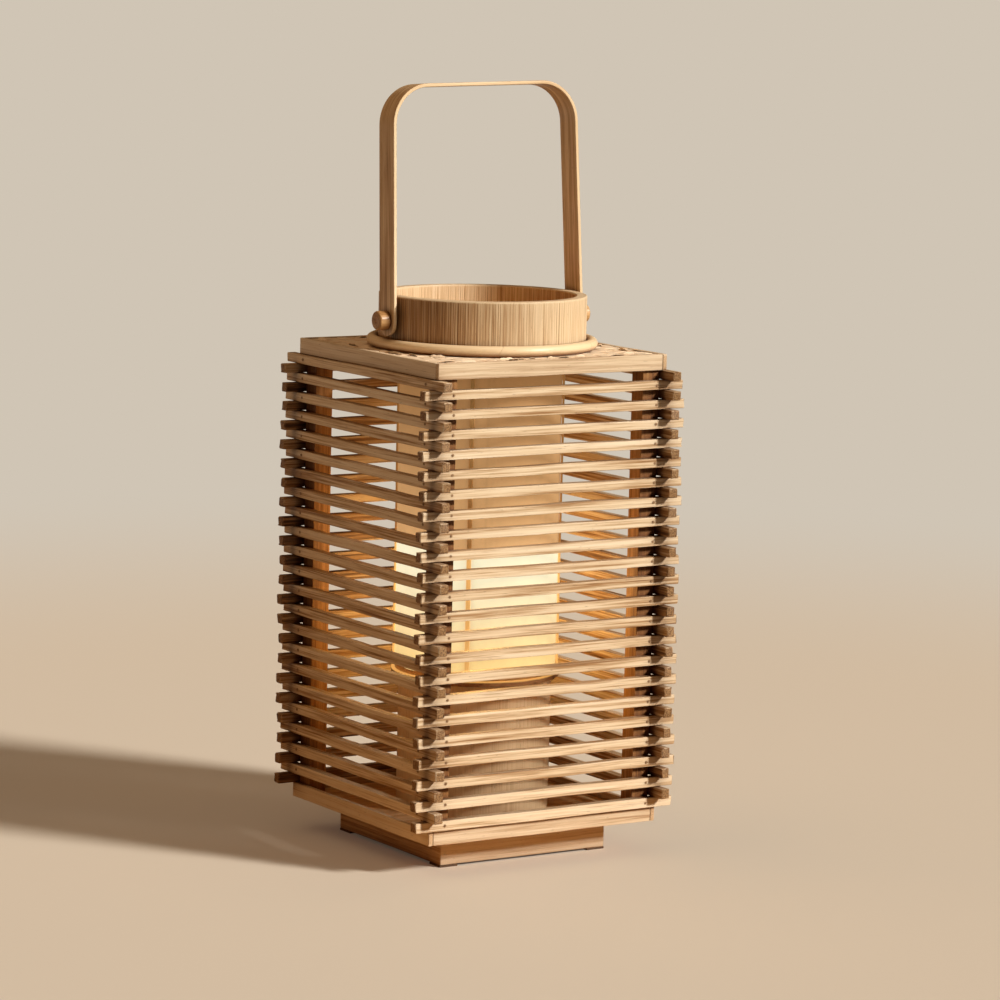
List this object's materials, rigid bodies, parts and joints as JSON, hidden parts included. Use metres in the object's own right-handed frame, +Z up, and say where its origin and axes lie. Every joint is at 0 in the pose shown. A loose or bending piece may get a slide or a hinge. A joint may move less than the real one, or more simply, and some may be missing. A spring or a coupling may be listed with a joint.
{
  "type": "andon floor lamp",
  "caption": "Square slatted bamboo floor lantern with a round collar, a bail handle and a lift-out round paper shade on a drum.",
  "frame": {"origin": "on the floor, under the middle of the lamp's outer box", "axes": "+Z up, the front face towards -Y, +X along the front face and along the handle's pivot"},
  "size_m": [0.306, 0.306, 0.7668],
  "materials": {
    "pad_rubber": "matt brown-black",
    "frame_bamboo": "bare bamboo board, fine long grain",
    "panel_bamboo": "bare bamboo board",
    "post_bamboo": "bare bamboo post",
    "slat_bamboo": "bare split bamboo, dark end grain",
    "brad_steel": "darkened nail heads",
    "woven_bamboo": "plaited bamboo splits",
    "collar_bamboo": "fine upright bamboo slivers",
    "rattan": "smooth peeled rattan core",
    "handle_bamboo": "steam-bent bamboo strip, satin",
    "pin_wood": "turned bamboo dowel",
    "washer_fibre": "thin leather washer",
    "washi_lit": "translucent washi, lit from inside",
    "washi_tan": "tan paper, opaque",
    "hoop_bamboo": "bent bamboo hoop",
    "rib_bamboo": "split bamboo rib",
    "baffle_card": "pale card",
    "drum_veneer": "bent bamboo veneer",
    "deck_wood": "turned wood disc",
    "stem_brass": "plain brass",
    "holder_plastic": "matt cream plastic",
    "cap_brass": "rolled thread",
    "bulb_plastic": "white plastic",
    "bulb_glass": "opal globe",
    "gland_plastic": "dark plastic"
  },
  "bodies": {
    "body": {"brads_front_back": "brad_steel", "brads_left_right": "brad_steel", "bulb_cap": "cap_brass", "bulb_globe": "bulb_glass", "bulb_housing": "bulb_plastic", "cable_gland": "gland_plastic", "collar_hoop": "collar_bamboo", "foot_pads": "pad_rubber", "gland_nut": "gland_plastic", "handle_pin_left": "pin_wood", "handle_pin_right": "pin_wood", "handle_washers": "washer_fibre", "lampholder": "holder_plastic", "lampholder_ring": "holder_plastic", "pedestal_deck": "deck_wood", "pedestal_drum": "drum_veneer", "pedestal_foot_ring": "hoop_bamboo", "plinth_back": "frame_bamboo", "plinth_blocks": "frame_bamboo", "plinth_front": "frame_bamboo", "plinth_left": "frame_bamboo", "plinth_right": "frame_bamboo", "post_back_left": "post_bamboo", "post_back_right": "post_bamboo", "post_front_left": "post_bamboo", "post_front_right": "post_bamboo", "rattan_ring": "rattan", "slats_back": "slat_bamboo", "slats_front": "slat_bamboo", "slats_left": "slat_bamboo", "slats_right": "slat_bamboo", "stem_nuts": "stem_brass", "stem_tube": "stem_brass", "top_mat": "woven_bamboo", "top_panel": "panel_bamboo", "top_rail_back": "frame_bamboo", "top_rail_front": "frame_bamboo", "top_rail_left": "frame_bamboo", "top_rail_right": "frame_bamboo", "tray_floor": "panel_bamboo", "tray_rail_back": "frame_bamboo", "tray_rail_front": "frame_bamboo", "tray_rail_left": "frame_bamboo", "tray_rail_right": "frame_bamboo"},
    "handle": {"handle_bail": "handle_bamboo"},
    "shade": {"shade_paper_lower": "washi_lit", "shade_paper_upper": "washi_tan", "shade_hoop_bottom": "hoop_bamboo", "shade_hoop_middle": "hoop_bamboo", "shade_hoop_top": "hoop_bamboo", "shade_ribs": "rib_bamboo", "shade_baffle": "baffle_card"}
  },
  "joints": [
    {"name": "handle_swing", "type": "hinge", "parent": "body", "child": "handle", "pos_m": [0, 0, 0.532], "axis": [1, 0, 0], "range_deg": [-92, 100]},
    {"name": "shade_lift", "type": "slide", "parent": "body", "child": "shade", "axis": [0, 0, 1], "range_m": [0, 0.22]}
  ]
}
